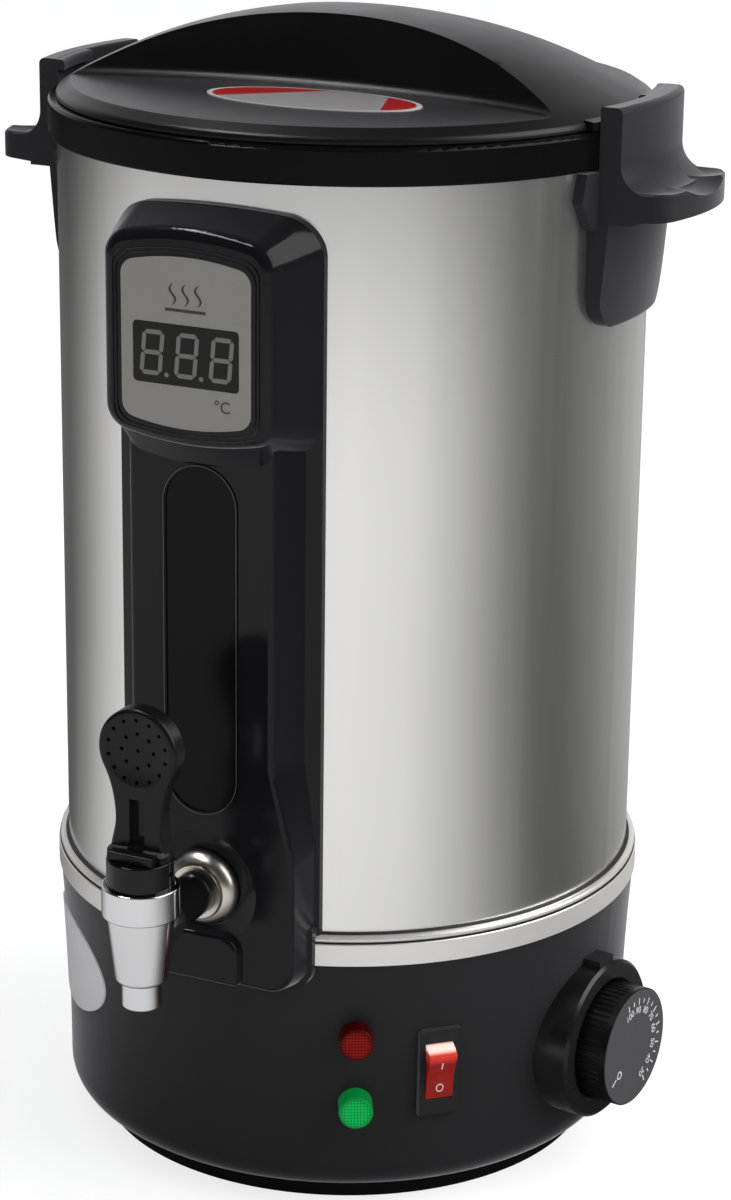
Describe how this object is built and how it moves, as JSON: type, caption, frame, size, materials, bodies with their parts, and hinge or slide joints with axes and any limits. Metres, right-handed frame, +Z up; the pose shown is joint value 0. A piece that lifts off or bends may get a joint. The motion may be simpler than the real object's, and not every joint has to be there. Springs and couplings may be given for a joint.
{
  "type": "wax melter",
  "caption": "Table-top electric wax melter: steel pot in a steel barrel on a black base with thermostat knob, switch and lamps, twist-lock lid, side handles and front pour tap.",
  "frame": {"origin": "centre of the flat underside, on the pot's axis", "axes": "+Z up along the pot's axis, front with the tap and display towards -Y, handles on +X and -X"},
  "size_m": [0.25, 0.2622, 0.386],
  "materials": {
    "satin_black": "fine satin moulding",
    "gloss_black": "glossy moulding",
    "handle_black": "satin heat-resistant moulding",
    "satin_steel": "vertically brushed, bright",
    "polished_steel": "polished band",
    "inner_steel": "drawn stainless steel",
    "chrome": "bright plated",
    "display_silver": "warm satin silver",
    "badge_silver": "plain satin silver",
    "smoked_window": "smoked clear plastic",
    "circuit_board": "board with black digit module",
    "red_lens": "clear red",
    "green_lens": "clear green",
    "red_rocker": "translucent red",
    "lamp_body": "white nylon",
    "aluminium": "cast",
    "element_steel": "sheathed element, heat tinted",
    "zinc_screw": "zinc plated",
    "phenolic": "phenolic moulding",
    "silicone": "translucent silicone",
    "felt": "glass fibre felt",
    "brass": "plain"
  },
  "bodies": {
    "heater": {"base_shell": "satin_black", "foot_pan": "satin_black", "foot_screws": "zinc_screw", "trim_ring": "polished_steel", "base_badge_plate": "badge_silver", "terminal_block": "lamp_body", "barrel": "satin_steel", "inner_pot": "inner_steel", "insulation_sleeve": "felt", "top_rim": "gloss_black", "handle_right": "handle_black", "handle_left": "handle_black", "handle_screws": "zinc_screw", "front_panel": "gloss_black", "panel_screws": "zinc_screw", "oval_inlay": "gloss_black", "display_plate": "display_silver", "display_window": "smoked_window", "display_board": "circuit_board", "heater_plate": "aluminium", "heating_element": "element_steel", "heater_clamp": "zinc_screw", "thermal_cutout": "phenolic", "temperature_probe": "brass", "lamp_holders": "lamp_body", "lamp_lens_red": "red_lens", "lamp_lens_green": "green_lens", "switch_housing": "gloss_black", "knob_bezel": "satin_black", "thermostat_body": "phenolic", "thermostat_screws": "zinc_screw", "inlet_socket": "phenolic", "inlet_pins": "brass", "inlet_screws": "zinc_screw", "tap_body": "chrome", "tap_shank": "gloss_black", "tap_escutcheon": "chrome", "tap_seals": "silicone", "tap_lock_nut": "brass", "tap_bonnet": "gloss_black", "valve_spring": "zinc_screw"},
    "seal_ring": {"lid_seal": "silicone"},
    "lid": {"lid_shell": "satin_black", "lid_liner": "inner_steel", "lid_screws": "zinc_screw", "lid_badge_plate": "badge_silver"},
    "lever": {"tap_lever": "gloss_black"},
    "stem": {"valve_stem": "zinc_screw", "stem_pin": "zinc_screw", "valve_washer": "silicone"},
    "rocker": {"rocker": "red_rocker"},
    "knob": {"thermostat_knob": "handle_black", "thermostat_shaft": "zinc_screw"}
  },
  "joints": [
    {"name": "lid_lift", "type": "slide", "parent": "heater", "child": "seal_ring", "axis": [0, 0, 1], "range_m": [0, 0.2]},
    {"name": "lid_twist", "type": "hinge", "parent": "seal_ring", "child": "lid", "pos_m": [0, 0, 0.358], "axis": [0, 0, 1], "range_deg": [0, 18]},
    {"name": "lever_tip", "type": "hinge", "parent": "heater", "child": "lever", "pos_m": [0, -0.1536, 0.1415], "axis": [1, 0, 0], "range_deg": [0, 35], "stiffness_Nm_per_rad": 0.4, "springref_deg": -20.05},
    {"name": "stem_lift", "type": "slide", "parent": "heater", "child": "stem", "axis": [0, 0, 1], "range_m": [0, 0.0042], "deforming": ["valve_spring"]},
    {"name": "rocker_tilt", "type": "hinge", "parent": "heater", "child": "rocker", "pos_m": [0.06794, -0.07035, 0.051], "axis": [-0.7193, -0.6947, 0], "range_deg": [0, 30]},
    {"name": "knob_turn", "type": "hinge", "parent": "heater", "child": "knob", "pos_m": [0.09903, -0.01392, 0.0463], "axis": [0.9903, -0.1392, 0], "range_deg": [-20, 240]}
  ],
  "couplings": [
    {"joint": "stem_lift", "follows": "lever_tip", "m_per_rad": 0.00679}
  ]
}
